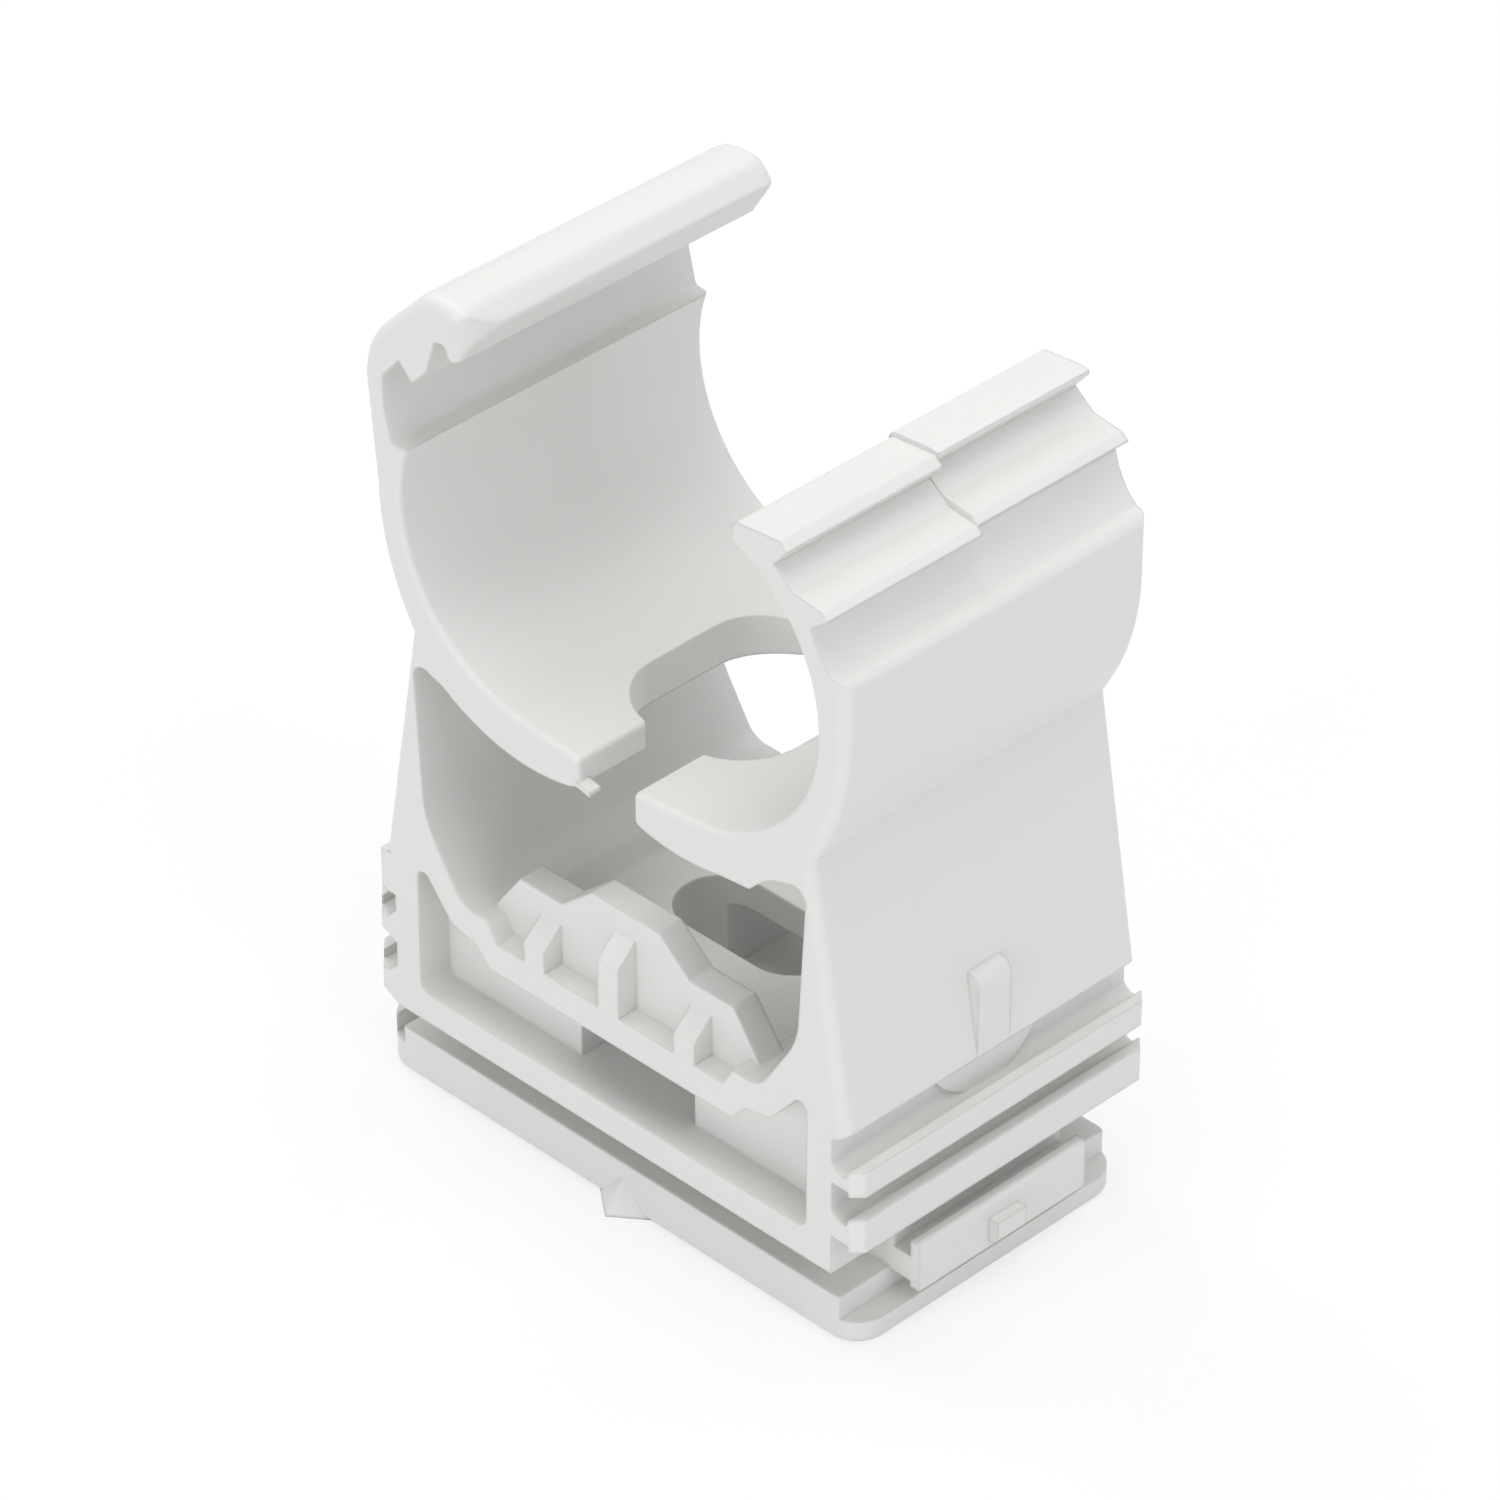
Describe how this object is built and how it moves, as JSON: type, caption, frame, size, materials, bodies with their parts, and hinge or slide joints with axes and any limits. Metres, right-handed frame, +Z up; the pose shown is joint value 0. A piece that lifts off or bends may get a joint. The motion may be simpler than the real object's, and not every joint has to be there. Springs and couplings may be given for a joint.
{
  "type": "pipe clip",
  "caption": "Self-closing plastic pipe clip: two sprung jaws with a ratchet closure on a cored block, slotted for a screw and with side hooks that couple clips in a row.",
  "frame": {"origin": "middle of the underside of the base plate, on the axis of the screw slot", "axes": "+Z up from the wall to the open jaws, +Y along the pipe, +X across it towards the arm with the teeth"},
  "size_m": [0.0465, 0.0276, 0.0637],
  "materials": {
    "plastic": "light grey, finely textured moulding with a soft sheen"
  },
  "bodies": {
    "root": {"pipe_clip": "plastic"}
  },
  "joints": []
}
